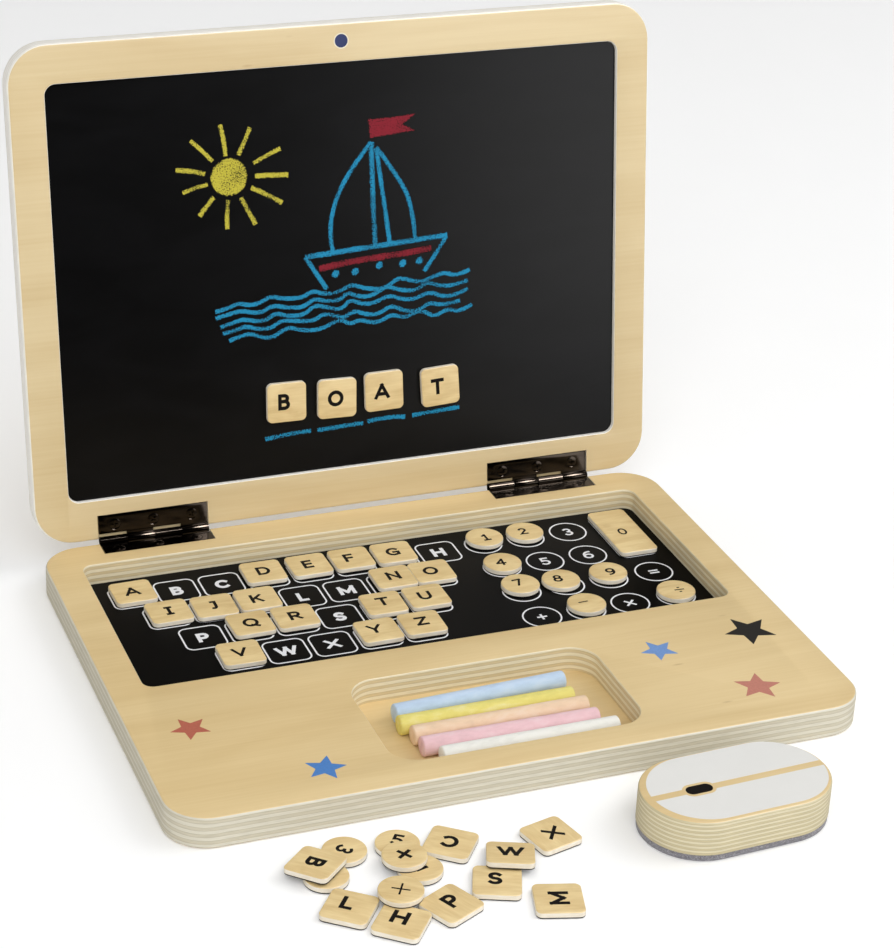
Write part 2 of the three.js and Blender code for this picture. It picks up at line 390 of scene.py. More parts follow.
def makeChalk(name, colour):
    # Cast dustless chalk: matt and powdery, with small pits and paler rubbed patches
    material = newMaterial(name)
    where = millimetres(material)
    powder = addNode(
        material,
        "ShaderNodeTexNoise",
        {"Vector": stretched(material, where, 9, 3.5, 3.5), "Scale": 1, "Detail": 6, "Roughness": 0.6},
    )
    base = linearColour(colour)
    pale = (*[c + (0.92 - c) * 0.22 for c in base[:3]], 1)
    deep = (*[c * 0.9 for c in base[:3]], 1)
    tone = addNode(
        material,
        "ShaderNodeValToRGB",
        {"Fac": powder.outputs[0]},
        [(0.3, deep), (0.5, base), (0.72, pale)],
    )
    pits = addNode(
        material,
        "ShaderNodeTexVoronoi",
        {"Vector": stretched(material, where, 2.2, 2.2, 2.2), "Scale": 1, "Randomness": 1},
    )
    pit = addNode(
        material, "ShaderNodeValToRGB", {"Fac": pits.outputs["Distance"]}, [(0.0, grey(0)), (0.16, grey(1))]
    )
    rough = addNode(
        material,
        "ShaderNodeMath",
        {0: powder.outputs[0], 1: 0.6, 2: pit.outputs[0]},
        operation="MULTIPLY_ADD",
    )
    bump = addNode(
        material, "ShaderNodeBump", {"Height": rough.outputs[0], "Strength": 0.3, "Distance": 0.0003}
    )
    shader = addNode(
        material,
        "ShaderNodeBsdfPrincipled",
        {
            "Base Color": tone.outputs[0],
            "Roughness": 0.95,
            "Specular IOR Level": 0.2,
            "Normal": bump.outputs[0],
        },
    )
    return finishMaterial(material, shader)


def makeChalkMark(name, colour):
    # A chalk line on the board: it catches on the tooth of the paint, so it breaks into grains at its rim
    material = newMaterial(name)
    where = millimetres(material, lidLie)
    tooth = addNode(
        material,
        "ShaderNodeTexNoise",
        {"Vector": stretched(material, where, 0.6, 0.6, 0.6), "Scale": 1, "Detail": 2},
    )
    patch = addNode(
        material,
        "ShaderNodeTexNoise",
        {"Vector": stretched(material, where, 9, 9, 9), "Scale": 1, "Detail": 1},
    )
    middle = addNode(material, "ShaderNodeAttribute", attribute_name="chalkMiddle").outputs["Fac"]
    pressed = addNode(
        material, "ShaderNodeMath", {0: middle, 1: 0.3, 2: tooth.outputs[0]}, operation="MULTIPLY_ADD"
    )
    cover = addNode(
        material,
        "ShaderNodeMath",
        {0: patch.outputs[0], 1: 0.35, 2: pressed.outputs[0]},
        operation="MULTIPLY_ADD",
    )
    share = addNode(
        material, "ShaderNodeValToRGB", {"Fac": cover.outputs[0]}, [(0.78, grey(0)), (0.94, grey(1))]
    )
    tone = addNode(
        material,
        "ShaderNodeMix",
        {0: share.outputs[0], 6: linearColour("#0E0F10"), 7: linearColour(colour)},
        data_type="RGBA",
    )
    shader = addNode(
        material,
        "ShaderNodeBsdfPrincipled",
        {"Base Color": tone.outputs[2], "Roughness": 0.8, "Specular IOR Level": 0.1},
    )
    return finishMaterial(material, shader)


def makeFelt():
    # Pressed wool felt: tangled grey fibres with darker and lighter hairs
    material = newMaterial("pressedFelt")
    where = millimetres(material)
    fibres = addNode(
        material,
        "ShaderNodeTexNoise",
        {
            "Vector": stretched(material, where, 1.1, 1.1, 0.5),
            "Scale": 1,
            "Detail": 6,
            "Roughness": 0.75,
            "Distortion": 2,
        },
    )
    tone = addNode(
        material,
        "ShaderNodeValToRGB",
        {"Fac": fibres.outputs[0]},
        [(0.36, linearColour("#4C4A50")), (0.5, linearColour("#7C7A80")), (0.64, linearColour("#B4B2B8"))],
    )
    bump = addNode(
        material, "ShaderNodeBump", {"Height": fibres.outputs[0], "Strength": 0.7, "Distance": 0.0005}
    )
    shader = addNode(
        material,
        "ShaderNodeBsdfPrincipled",
        {
            "Base Color": tone.outputs[0],
            "Roughness": 1.0,
            "Specular IOR Level": 0.1,
            "Sheen Weight": 0.3,
            "Sheen Roughness": 0.6,
            "Normal": bump.outputs[0],
        },
    )
    return finishMaterial(material, shader)


wood = {"light": "#E9CF9A", "dark": "#DCBF87", "lidLight": "#E0CB9E", "lidDark": "#D4BB8A"}
# The recess walls get a warmer, lighter copy of the ply edge: painted light, standing in for light bounced
# off the wood around them
recessPliesBounceLit = {"light": "#F0E4C4", "middle": "#DFCB9E", "line": "#CDB88A"}
# The lid's edges get a near-white copy of the ply edge: painted light, which draws them as brightly lit
lidPliesLit = {"light": "#FFFCF6", "middle": "#F8F4E9", "line": "#E8E1CF"}
mousePlies = {"light": "#E2D8B8", "middle": "#D1C49D", "line": "#B3A176"}
mouseLie = ((65.2 * mm, -154.7 * mm, 0), (0, 0, math.radians(2.7)))
baseVeneer = makeVeneer("birchVeneerBase", wood["light"], wood["dark"], None)
lidVeneer = makeVeneer("birchVeneerLid", wood["lidLight"], wood["lidDark"], lidLie)
mouseVeneer = makeVeneer("birchVeneerMouse", wood["light"], wood["dark"], mouseLie, knots=0)
keyVeneer = makeVeneer(
    "birchKeyFace", "#EFD59C", "#DABB80", "grainPlace", streak=(12, 0.8), figure=(18, 6), knots=0.15
)
baseEdge = makePlyEdge("plyEdgeBase", None, pair=3.1, start=0.6)
recessEdgeBounceLit = makePlyEdge("plyEdgeRecessBounceLit", None, pair=3.1, start=0.6, **recessPliesBounceLit)
lidEdgeLit = makePlyEdge("plyEdgeLidLit", lidLie, pair=2.7, start=0.3, **lidPliesLit)
mouseEdge = makePlyEdge("plyEdgeMouse", mouseLie, pair=1.95, start=0.2, **mousePlies)
keyEdge = makeVeneer(
    "birchKeyEdge",
    "#F3ECDD",
    "#E2D5BC",
    "grainPlace",
    streak=(3, 0.5),
    figure=(12, 4),
    knots=0,
    roughness=0.6,
)
magnetSheet = makePaint("magneticSheet", "#161515", 0.6, speck=0.8, gloss=0.2)
keyInk = makePaint("keyInk", "#140E0A", 0.6, speck=0.6, gloss=0.1)
panelPaint = makePaint("printedPanel", "#060505", 0.42, speck=1.2, depth=0.03, gloss=0.06)
whiteInk = makePaint("whiteInk", "#F0F1F4", 0.5, speck=0.7, variation=0.05)
blackboard = makeBlackboard()
blackNickel = makeBlackNickel()
brightPin = makeBrightSteel()
felt = makeFelt()
print("materials made")


# Modelling helpers: sizes in millimetres
def freshStart(*pieces):
    if bpy.context.object and bpy.context.object.mode != "OBJECT":
        bpy.ops.object.mode_set(mode="OBJECT")
    bpy.ops.object.select_all(action="DESELECT")
    for piece in pieces:
        piece.select_set(True)
        bpy.context.view_layer.objects.active = piece


def settleTransform(piece):
    freshStart(piece)
    bpy.ops.object.transform_apply(location=True, rotation=True, scale=True)


def pullUp(height):
    # Inside edit mode: the flat outline becomes a closed solid
    bpy.ops.mesh.select_all(action="SELECT")
    bpy.ops.mesh.extrude_region_move(TRANSFORM_OT_translate={"value": (0, 0, height * mm)})
    bpy.ops.mesh.select_all(action="SELECT")
    bpy.ops.mesh.normals_make_consistent(inside=False)
    bpy.ops.object.mode_set(mode="OBJECT")


def roundedSlab(name, width, depth, corner, bottom, top, x=0, y=0, steps=10):
    freshStart()
    bpy.ops.mesh.primitive_plane_add(size=1, location=(x * mm, y * mm, bottom * mm))
    slab = bpy.context.object
    slab.name = name
    slab.scale = (width * mm, depth * mm, 1)
    settleTransform(slab)
    bpy.ops.object.mode_set(mode="EDIT")
    bpy.ops.mesh.select_all(action="SELECT")
    if corner:
        bpy.ops.mesh.bevel(offset=corner * mm, segments=steps, affect="VERTICES")
    pullUp(top - bottom)
    return slab


def roundSlab(name, radius, bottom, top, x=0, y=0, steps=48):
    freshStart()
    bpy.ops.mesh.primitive_circle_add(
        vertices=steps, radius=radius * mm, fill_type="NGON", location=(x * mm, y * mm, bottom * mm)
    )
    slab = bpy.context.object
    slab.name = name
    settleTransform(slab)
    bpy.ops.object.mode_set(mode="EDIT")
    pullUp(top - bottom)
    return slab


def rodAlongX(name, radius, lowX, highX, y=0, z=0, steps=32):
    freshStart()
    bpy.ops.mesh.primitive_cylinder_add(
        vertices=steps,
        radius=radius * mm,
        depth=(highX - lowX) * mm,
        location=((lowX + highX) / 2 * mm, y * mm, z * mm),
        rotation=(0, math.radians(90), 0),
    )
    rod = bpy.context.object
    rod.name = name
    settleTransform(rod)
    return rod


def booleanWith(piece, tool, operation):
    freshStart(piece)
    modifier = piece.modifiers.new("joinery", "BOOLEAN")
    modifier.operation = operation
    modifier.object = tool
    modifier.solver = "EXACT"
    bpy.ops.object.modifier_apply(modifier=modifier.name)
    bpy.data.objects.remove(tool)
    return piece


def softenEdges(piece, width, chosen, steps=3):
    # Rounds the sharp edges for which chosen(edge) holds
    freshStart(piece)
    bpy.ops.object.mode_set(mode="EDIT")
    bpy.ops.mesh.select_mode(type="EDGE")
    bpy.ops.mesh.select_all(action="DESELECT")
    work = bmesh.from_edit_mesh(piece.data)
    for edge in work.edges:
        if len(edge.link_faces) == 2 and edge.calc_face_angle() > 0.7 and chosen(edge):
            edge.select_set(True)
    bmesh.update_edit_mesh(piece.data)
    bpy.ops.mesh.bevel(offset=width * mm, segments=steps, affect="EDGES", clamp_overlap=True)
    bpy.ops.object.mode_set(mode="OBJECT")


def atHeight(*levels):
    return lambda edge: any(all(abs(v.co.z - level * mm) < 2e-5 for v in edge.verts) for level in levels)


def paintFaces(piece, materials, choose):
    # choose(face) gives the number of the material, from the face's place and normal
    for material in materials:
        piece.data.materials.append(material)
    for face in piece.data.polygons:
        face.material_index = choose(face)


def faceUpOrEdge(face):
    return 0 if abs(face.normal.z) > 0.75 else 1


def faceEdgeOrRecess(face):
    if abs(face.normal.z) > 0.75:
        return 0
    # the recess walls take the third material, the ply edge with painted bounce light
    return 2 if abs(face.center.x) < 140 * mm and abs(face.center.y) < 105 * mm else 1


def copyPiece(piece, name):
    freshStart(piece)
    bpy.ops.object.duplicate(linked=False)
    copied = bpy.context.object
    copied.name = name
    return copied


def joinPieces(name, pieces):
    freshStart(*pieces[1:], pieces[0])
    bpy.ops.object.join()
    joined = bpy.context.object
    joined.name = name
    return joined


def putInPlace(piece, place, body, slot, *replaced):
    # The piece's place goes into its mesh, and it is smoothed and hung on its body
    piece.matrix_world = place @ piece.matrix_world
    settleTransform(piece)
    bpy.ops.object.shade_smooth_by_angle(angle=math.radians(32))
    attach(piece, body)
    if replaced:
        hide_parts(*replaced)
    return piece


# Lettering: each sign is drawn in strokes in a box from 0 to 1, with its width as a share of its height
def bow(x, y, wide, high, start, end):
    steps = max(3, round(abs(end - start) / 20))
    turns = [math.radians(start + (end - start) * i / steps) for i in range(steps + 1)]
    return [(x + wide * math.cos(t), y + high * math.sin(t)) for t in turns]


ring = bow(0.5, 0.5, 0.5, 0.5, 90, 450)
lettering = {
    "A": (0.98, [[(0, 0), (0.5, 1)], [(0.5, 1), (1, 0)], [(0.2, 0.28), (0.8, 0.28)]]),
    "B": (
        0.74,
        [
            [(0, 0), (0, 1)],
            [(0, 1), (0.45, 1), *bow(0.5, 0.77, 0.4, 0.23, 90, -90), (0, 0.54)],
            [(0.4, 0.54), *bow(0.52, 0.27, 0.48, 0.27, 90, -90), (0, 0)],
        ],
    ),
    "C": (0.84, [bow(0.6, 0.5, 0.6, 0.5, 48, 312)]),
    "D": (0.88, [[(0, 0), (0, 1)], [(0, 1), (0.35, 1), *bow(0.42, 0.5, 0.58, 0.5, 90, -90), (0, 0)]]),
    "E": (0.66, [[(0, 0), (0, 1)], [(0, 1), (1, 1)], [(0, 0.52), (0.94, 0.52)], [(0, 0), (1, 0)]]),
    "F": (0.64, [[(0, 0), (0, 1)], [(0, 1), (1, 1)], [(0, 0.5), (0.92, 0.5)]]),
    "G": (0.9, [[*bow(0.55, 0.5, 0.55, 0.5, 48, 300), (1, 0.08), (1, 0.44), (0.6, 0.44)]]),
    "H": (0.86, [[(0, 0), (0, 1)], [(1, 0), (1, 1)], [(0, 0.52), (1, 0.52)]]),
    "I": (0.5, [[(0.5, 0), (0.5, 1)], [(0, 1), (1, 1)], [(0, 0), (1, 0)]]),
    "J": (0.5, [[(0.3, 1), (1, 1), (1, 0.32), *bow(0.5, 0.3, 0.5, 0.3, 0, -110)]]),
    "K": (0.8, [[(0, 0), (0, 1)], [(0, 0.36), (0.94, 1)], [(0.36, 0.6), (1, 0)]]),
    "L": (0.64, [[(0, 1), (0, 0)], [(0, 0), (1, 0)]]),
    "M": (1.04, [[(0, 0), (0, 1)], [(0, 1), (0.5, 0.2)], [(0.5, 0.2), (1, 1)], [(1, 1), (1, 0)]]),
    "N": (0.88, [[(0, 0), (0, 1)], [(0, 1), (1, 0)], [(1, 0), (1, 1)]]),
    "O": (1.0, [ring]),
    "P": (0.74, [[(0, 0), (0, 1)], [(0, 1), (0.5, 1), *bow(0.55, 0.71, 0.45, 0.29, 90, -90), (0, 0.42)]]),
    "Q": (1.0, [ring, [(0.55, 0.1), (1.0, -0.12)]]),
    "R": (
        0.82,
        [
            [(0, 0), (0, 1)],
            [(0, 1), (0.5, 1), *bow(0.5, 0.72, 0.4, 0.28, 90, -90), (0, 0.44)],
            [(0.42, 0.44), (1, 0)],
        ],
    ),
    "S": (0.74, [[*bow(0.52, 0.75, 0.46, 0.25, 35, 250), *bow(0.48, 0.25, 0.5, 0.25, 70, -145)]]),
    "T": (0.84, [[(0, 1), (1, 1)], [(0.5, 1), (0.5, 0)]]),
    "U": (0.86, [[(0, 1), (0, 0.36), *bow(0.5, 0.36, 0.5, 0.36, 195, 345), (1, 0.36), (1, 1)]]),
    "V": (0.96, [[(0, 1), (0.5, 0)], [(0.5, 0), (1, 1)]]),
    "W": (1.36, [[(0, 1), (0.26, 0)], [(0.26, 0), (0.5, 1)], [(0.5, 1), (0.74, 0)], [(0.74, 0), (1, 1)]]),
    "X": (0.92, [[(0, 0), (1, 1)], [(0, 1), (1, 0)]]),
    "Y": (0.92, [[(0, 1), (0.5, 0.42)], [(1, 1), (0.5, 0.42)], [(0.5, 0.46), (0.5, 0)]]),
    "Z": (0.8, [[(0, 1), (1, 1)], [(1, 1), (0, 0)], [(0, 0), (1, 0)]]),
    "0": (0.72, [ring]),
    "1": (0.62, [[(0.05, 0.84), (0.5, 0.98)], [(0.5, 1), (0.5, 0)], [(0, 0), (1, 0)]]),
    "2": (0.68, [[*bow(0.48, 0.72, 0.48, 0.28, 150, -25), (0, 0), (1, 0)]]),
    "3": (0.66, [[*bow(0.45, 0.76, 0.45, 0.24, 140, -80)], [*bow(0.48, 0.26, 0.52, 0.26, 80, -145)]]),
    "4": (0.8, [[(0.74, 0), (0.74, 1)], [(0.74, 1), (0, 0.3)], [(0, 0.28), (1, 0.28)]]),
    "5": (0.68, [[(0.92, 1), (0.12, 1), (0.1, 0.56), *bow(0.45, 0.3, 0.55, 0.3, 105, -140)]]),
    "6": (0.74, [bow(0.5, 0.3, 0.5, 0.3, 90, 450), [(0, 0.3), *bow(0.75, 0.42, 0.75, 0.58, 180, 80)]]),
    "7": (0.7, [[(0, 1), (1, 1)], [(1, 1), (0.3, 0)]]),
    "8": (0.74, [bow(0.5, 0.76, 0.42, 0.24, 90, 450), bow(0.5, 0.27, 0.5, 0.27, 90, 450)]),
    "9": (0.74, [bow(0.5, 0.7, 0.5, 0.3, 90, 450), [(1, 0.7), *bow(0.25, 0.58, 0.75, 0.58, 0, -100)]]),
    "plus": (1.0, [[(0, 0.5), (1, 0.5)], [(0.5, 0), (0.5, 1)]]),
    "minus": (1.0, [[(0, 0.5), (1, 0.5)]]),
    "times": (1.0, [[(0, 0), (1, 1)], [(0, 1), (1, 0)]]),
    "divide": (1.0, [[(0, 0.5), (1, 0.5)], [(0.44, 0.98), (0.56, 0.98)], [(0.44, 0.02), (0.56, 0.02)]]),
    "equals": (1.0, [[(0, 0.78), (1, 0.78)], [(0, 0.22), (1, 0.22)]]),
}
drawnSigns = {}


def inkStroke(points, line):
    # A strip of the stroke's width is bent along its points, with square ends and mitred corners
    path = [Vector(point) for point in points]
    closed = (path[0] - path[-1]).length < 1e-6
    if not closed:  # the ends reach half a stroke further
        path[0] += (path[0] - path[1]).normalized() * line / 2
        path[-1] += (path[-1] - path[-2]).normalized() * line / 2
    count = len(path) - 1
    freshStart()
    bpy.ops.mesh.primitive_grid_add(x_subdivisions=count, y_subdivisions=1, size=2)
    strip = bpy.context.object
    for vertex in strip.data.vertices:
        i = round((vertex.co.x + 1) / 2 * count)
        before = path[i] - path[i - 1] if i else (path[-1] - path[-2] if closed else path[1] - path[0])
        after = path[i + 1] - path[i] if i < count else (path[1] - path[0] if closed else before)
        before, after = before.normalized(), after.normalized()
        across = Vector((-(before + after).y, (before + after).x)).normalized()
        reach = line / 2 / max(0.5, across.dot(Vector((-before.y, before.x))))
        spot = path[i] + across * reach * (1 if vertex.co.y > 0 else -1)
        vertex.co = (spot.x * mm, spot.y * mm, 0)
    return strip


def label(sign, height, line, thickness=0.06, bottom=0.0, turn=0, shift=(0, 0)):
    # A sign printed flat, centred on the origin: each is drawn once and then copied
    drawn = (sign, height, line, thickness)
    if drawn not in drawnSigns:
        share, drawnStrokes = lettering[sign]
        width = share * height - line
        tall = height - line
        strips = []
        for points in drawnStrokes:
            strips.append(inkStroke([((x - 0.5) * width, (y - 0.5) * tall) for x, y in points], line))
        for i, strip in enumerate(strips):  # each stroke a hair thicker than the last, so none share a face
            freshStart(strip)
            bpy.ops.object.mode_set(mode="EDIT")
            pullUp(thickness + 0.006 * i)
        letter = joinPieces("sign", strips)
        if sign not in ("Q", "plus", "minus", "times", "divide", "equals"):  # slanted ends are cut off level
            for vertex in letter.data.vertices:
                vertex.co.y = max(-height / 2 * mm, min(height / 2 * mm, vertex.co.y))
        drawnSigns[drawn] = letter
    letter = copyPiece(drawnSigns[drawn], "letter")
    letter.location = (shift[0] * mm, shift[1] * mm, bottom * mm)
    letter.rotation_euler = (0, 0, math.radians(turn))
    settleTransform(letter)
    return letter


atRest = Matrix.Identity(4)

# Base: a plywood frame over a thin bottom board
base = {
    "width": 300,
    "depth": 226,
    "corner": 18,
    "board": 2.4,
    "height": 13.7,
    "well": (269, 108, 5, 0, 40.3),
    "tray": (110.4, 63.4, 12, 0, -66.3),
    "rim": 1.1,
    "innerRim": 0.7,
    "underRim": 0.8,
}


def cutWindow(board, window, bottom, top):
    width, depth, corner, x, y = window
    opening = roundedSlab("window", width, depth, corner, bottom, top, x, y)
    return booleanWith(board, opening, "DIFFERENCE")


# Hinges: heights are from the hinge's own axis, and the lid's leaf is a little wider than the base's
hinge = {
    "length": 50.8,
    "places": {"left": -95.7, "right": 94.1},
    "leafWidth": {-1: 10.7, 1: 12.0},
    "leaf": 1.2,
    "face": -0.45,
    "barrel": 2.1,
    "run": 0.3,
    "notch": 1.2,
    "fit": 0.5,
    "screws": (-18, 0, 18),
    "screwLine": 7.4,
    "screwHole": 1.3,
    "screwHead": 2.6,
    "sink": 1.0,
    "bore": 1.15,
}


def hingeSeat(board, side, axisY, axisZ):
    # Both boards are let in for the leaves and hollowed for the barrel
    for centre in hinge["places"].values():
        low = centre - hinge["length"] / 2 - hinge["fit"]
        high = centre + hinge["length"] / 2 + hinge["fit"]
        reach = hinge["leafWidth"][side] + hinge["run"]
        face = axisZ + hinge["face"]
        middleY = axisY + side * reach / 2
        seatFloor = face - hinge["leaf"] - 0.1
        seat = roundedSlab("seat", high - low, reach, 0, seatFloor, face + 1, centre, middleY)
        booleanWith(board, seat, "DIFFERENCE")
        hollow = rodAlongX("hollow", hinge["barrel"] + hinge["run"], low, high, axisY, axisZ)
        booleanWith(board, hollow, "DIFFERENCE")


baseFrame = roundedSlab(
    "baseFrame", base["width"], base["depth"], base["corner"], base["board"] + hair, base["height"]
)
cutWindow(baseFrame, base["well"], 1, 20)
cutWindow(baseFrame, base["tray"], 1, 20)
onTop = atHeight(base["height"])


def outside(edge):
    return all(abs(v.co.x) > 0.139 or v.co.y > 0.1 or v.co.y < -0.1 for v in edge.verts)


softenEdges(baseFrame, base["rim"], lambda edge: onTop(edge) and outside(edge))
softenEdges(baseFrame, base["innerRim"], lambda edge: onTop(edge) and not outside(edge))
hingeSeat(baseFrame, -1, hingeAxis.y / mm, hingeAxis.z / mm)
paintFaces(baseFrame, [baseVeneer, baseEdge, recessEdgeBounceLit], faceEdgeOrRecess)
putInPlace(baseFrame, atRest, "base", "plywood", "base_frame")

bottomBoard = roundedSlab("bottomBoard", base["width"], base["depth"], base["corner"], 0, base["board"])
softenEdges(bottomBoard, base["underRim"], atHeight(0))
paintFaces(bottomBoard, [baseVeneer, baseEdge], faceUpOrEdge)
putInPlace(bottomBoard, atRest, "base", "plywood", "base_bottom_board")
nodes["keyboard_panel"].data.materials.clear()
nodes["keyboard_panel"].data.materials.append(panelPaint)
print("base made")

# Lid, built lying on its back on the hinge axis: Y runs up it and Z comes out of its face
lid = {
    "frame": 7.9,
    "back": 2.5,
    "setback": 0.7,
    "window": (268, 189.5, 5, 0, 114.45),
    "rim": 1.1,
    "innerRim": 0.6,
    "boardFace": -2.45,
}
lidFace = hinge["face"]
lidMiddle = lid["setback"] + base["depth"] / 2
frameBack = lidFace - lid["frame"]
lidFrame = roundedSlab(
    "lidFrame", base["width"], base["depth"], base["corner"], frameBack, lidFace, 0, lidMiddle
)
cutWindow(lidFrame, lid["window"], frameBack - 2, lidFace + 2)
onFace = atHeight(lidFace)


def nearWindow(edge):
    return all(abs(v.co.x) < 0.1345 and 0.018 < v.co.y < 0.211 for v in edge.verts)


softenEdges(lidFrame, lid["rim"], lambda edge: onFace(edge) and not nearWindow(edge))
softenEdges(lidFrame, lid["innerRim"], lambda edge: onFace(edge) and nearWindow(edge))
hingeSeat(lidFrame, 1, 0, 0)
paintFaces(lidFrame, [lidVeneer, lidEdgeLit], faceUpOrEdge)
putInPlace(lidFrame, lidPlace, "lid", "plywood", "lid_frame")

backTop, backFace = frameBack - hair, frameBack - lid["back"]
backBoard = roundedSlab(
    "lidBackBoard", base["width"], base["depth"], base["corner"], backFace, backTop, 0, lidMiddle
)
softenEdges(backBoard, base["underRim"], atHeight(backFace))
paintFaces(backBoard, [lidVeneer, lidEdgeLit], faceUpOrEdge)
putInPlace(backBoard, lidPlace, "lid", "plywood", "lid_back_board")
nodes["chalkboard_panel"].data.materials.clear()
nodes["chalkboard_panel"].data.materials.append(blackboard)

dot = {"radius": 3.0, "halo": 3.5, "up": 218.0, "colour": "#182C6B"}
navyInk = makePaint("navyInk", dot["colour"], 0.45, place=lidLie)
haloInk = makePaint("haloInk", "#EFE6D0", 0.5, place=lidLie)
upDot = dot["up"] + lid["setback"]
halo = roundSlab("dotHalo", dot["halo"], lidFace - hair, lidFace + 0.02, 0, upDot)
paintFaces(halo, [haloInk], lambda face: 0)
putInPlace(halo, lidPlace, "lid", "plywood")
navyDot = roundSlab("printedDot", dot["radius"], lidFace - hair, lidFace + 0.05, 0, upDot)
paintFaces(navyDot, [navyInk], lambda face: 0)
putInPlace(navyDot, lidPlace, "lid", "plywood")
print("lid made")


# Hinges
def hingeLeaf(name, side, odd, x, place, body, node):
    half = hinge["length"] / 2
    knuckle = hinge["length"] / 4
    face = hinge["face"]
    wide = hinge["leafWidth"][side]
    leaf = roundedSlab(name, hinge["length"], wide, 0, face - hinge["leaf"], face, 0, side * wide / 2)
    for i in range(4):
        low = -half + i * knuckle + (hinge["run"] / 2 if i else 0)
        high = -half + (i + 1) * knuckle - (hinge["run"] / 2 if i < 3 else 0)
        if i % 2 == odd:
            booleanWith(leaf, rodAlongX("knuckle", hinge["barrel"], low, high), "UNION")
        else:
            reach = hinge["barrel"] + hinge["notch"]
            lowCut = low - hinge["run"] if i else low - 1
            highCut = high + hinge["run"] if i < 3 else high + 1
            middle = (lowCut + highCut) / 2
            notch = roundedSlab("notch", highCut - lowCut, 2 * reach, 0, -reach, reach, middle, 0)
            booleanWith(leaf, notch, "DIFFERENCE")
    booleanWith(leaf, rodAlongX("pinBore", hinge["bore"], -half - 1, half + 1, steps=24), "DIFFERENCE")
    softenEdges(leaf, 0.16, lambda edge: edge.calc_face_angle() > 1.2, steps=2)
    for across in hinge["screws"]:
        freshStart()
        bpy.ops.mesh.primitive_cone_add(
            vertices=28,
            radius1=hinge["screwHole"] * mm,
            radius2=(hinge["screwHead"] + 0.1) * mm,
            depth=hinge["sink"] * mm,
            location=(across * mm, side * hinge["screwLine"] * mm, (face - hinge["sink"] / 2 + 0.01) * mm),
        )
        sink = bpy.context.object
        settleTransform(sink)
        booleanWith(leaf, sink, "DIFFERENCE")
    paintFaces(leaf, [blackNickel], lambda polygon: 0)
    putInPlace(leaf, place @ Matrix.Translation((x * mm, 0, 0)), body, "black_nickel", node)
    return leaf


def makeScrew():
    # The head of a countersunk cross-head screw, its narrow end down
    head = hinge["screwHead"]
    freshStart()
    bpy.ops.mesh.primitive_cone_add(
        vertices=28, radius1=hinge["screwHole"] * 0.9 * mm, radius2=head * mm, depth=hinge["sink"] * mm
    )
    screw = bpy.context.object
    screw.location = (0, 0, -hinge["sink"] / 2 * mm)
    settleTransform(screw)
    bpy.ops.object.mode_set(mode="EDIT")
    bpy.ops.mesh.select_mode(type="FACE")
    bpy.ops.mesh.select_all(action="DESELECT")
    work = bmesh.from_edit_mesh(screw.data)
    for face in work.faces:
        face.select_set(face.normal.z > 0.9)
    bmesh.update_edit_mesh(screw.data)
    for step in (0.25, 0.6, 0.7):  # a low domed head
        bpy.ops.mesh.inset(thickness=step * mm)
        bpy.ops.transform.translate(value=(0, 0, 0.06 * mm))
    bpy.ops.object.mode_set(mode="OBJECT")
    for turn in (0, 90):  # the two slots of the cross recess
        cross = roundedSlab("crossSlot", 2.7, 0.62, 0, -0.75, 0.6)
        cross.rotation_euler = (0, 0, math.radians(turn))
        settleTransform(cross)
        booleanWith(screw, cross, "DIFFERENCE")
    return screw


hingePlaces = {"base": (Matrix.Translation(hingeAxis), -1, 0), "lid": (lidPlace, 1, 1)}
screwTemplate = makeScrew()
for sideName, x in hinge["places"].items():
    for body, (place, side, odd) in hingePlaces.items():
        tag = body.capitalize() + sideName.capitalize()
        hingeLeaf("hingeLeaf" + tag, side, odd, x, place, body, f"hinge_{body}_leaf_{sideName}")
        heads = []
        for across in hinge["screws"]:
            head = copyPiece(screwTemplate, "screwHead")
            head.location = (
                (x + across) * mm,
                side * hinge["screwLine"] * mm,
                (hinge["face"] - 0.04) * mm,
            )
            head.rotation_euler = (0, 0, random.uniform(0, math.pi / 2))
            settleTransform(head)
            heads.append(head)
        screws = joinPieces("hingeScrews" + tag, heads)
        paintFaces(screws, [blackNickel], lambda face: 0)
        putInPlace(screws, place, body, "black_nickel")
    pin = nodes[f"hinge_pin_{sideName}"]
    pin.data.materials.clear()
    pin.data.materials.append(brightPin)
bpy.data.objects.remove(screwTemplate)
print("hinges made")

# Keys: a wooden tile with a rounded face on a thin magnetic sheet
key = {
    "side": 18.7,
    "long": 41.6,
    "round": 17.6,
    "corner": 2.5,
    "thick": 2.6,
    "magnet": 0.4,
    "soft": 0.5,
    "letter": (7.1, 1.45),
    "digit": (6.0, 1.1),
    "zero": (6.0, 0.95),
    "sign": (4.6, 0.75),
    "plus": (7.2, 0.75),
    "times": (5.2, 1.5),
    "looseLetter": (7.7, 1.7),
    "looseDigit": (7.0, 1.3),
}  # from "letter" on: how high each kind of sign is and how wide its stroke


def keyTemplate(shape):
    if shape == "round":
        tile = roundSlab("keyTile", key["round"] / 2, key["magnet"], key["thick"])
        sheet = roundSlab("keyMagnet", key["round"] / 2 - 0.1, 0, key["magnet"])
    else:
        depth = key["long"] if shape == "long" else key["side"]
        tile = roundedSlab("keyTile", key["side"], depth, key["corner"], key["magnet"], key["thick"], steps=8)
        sheet = roundedSlab(
            "keyMagnet", key["side"] - 0.2, depth - 0.2, key["corner"] - 0.1, 0, key["magnet"], steps=8
        )
    softenEdges(tile, key["soft"], atHeight(key["thick"]), steps=3)
    softenEdges(tile, 0.12, atHeight(key["magnet"]), steps=1)
    tileCoats = [keyVeneer, keyEdge, magnetSheet, keyInk]
    paintFaces(tile, tileCoats, lambda face: 0 if face.normal.z > 0.55 else 1)
    paintFaces(sheet, [magnetSheet], lambda face: 0)
    return joinPieces("keyTemplate", [tile, sheet])


templates = {shape: keyTemplate(shape) for shape in ("square", "round", "long")}
keyNumbers = itertools.count(1)


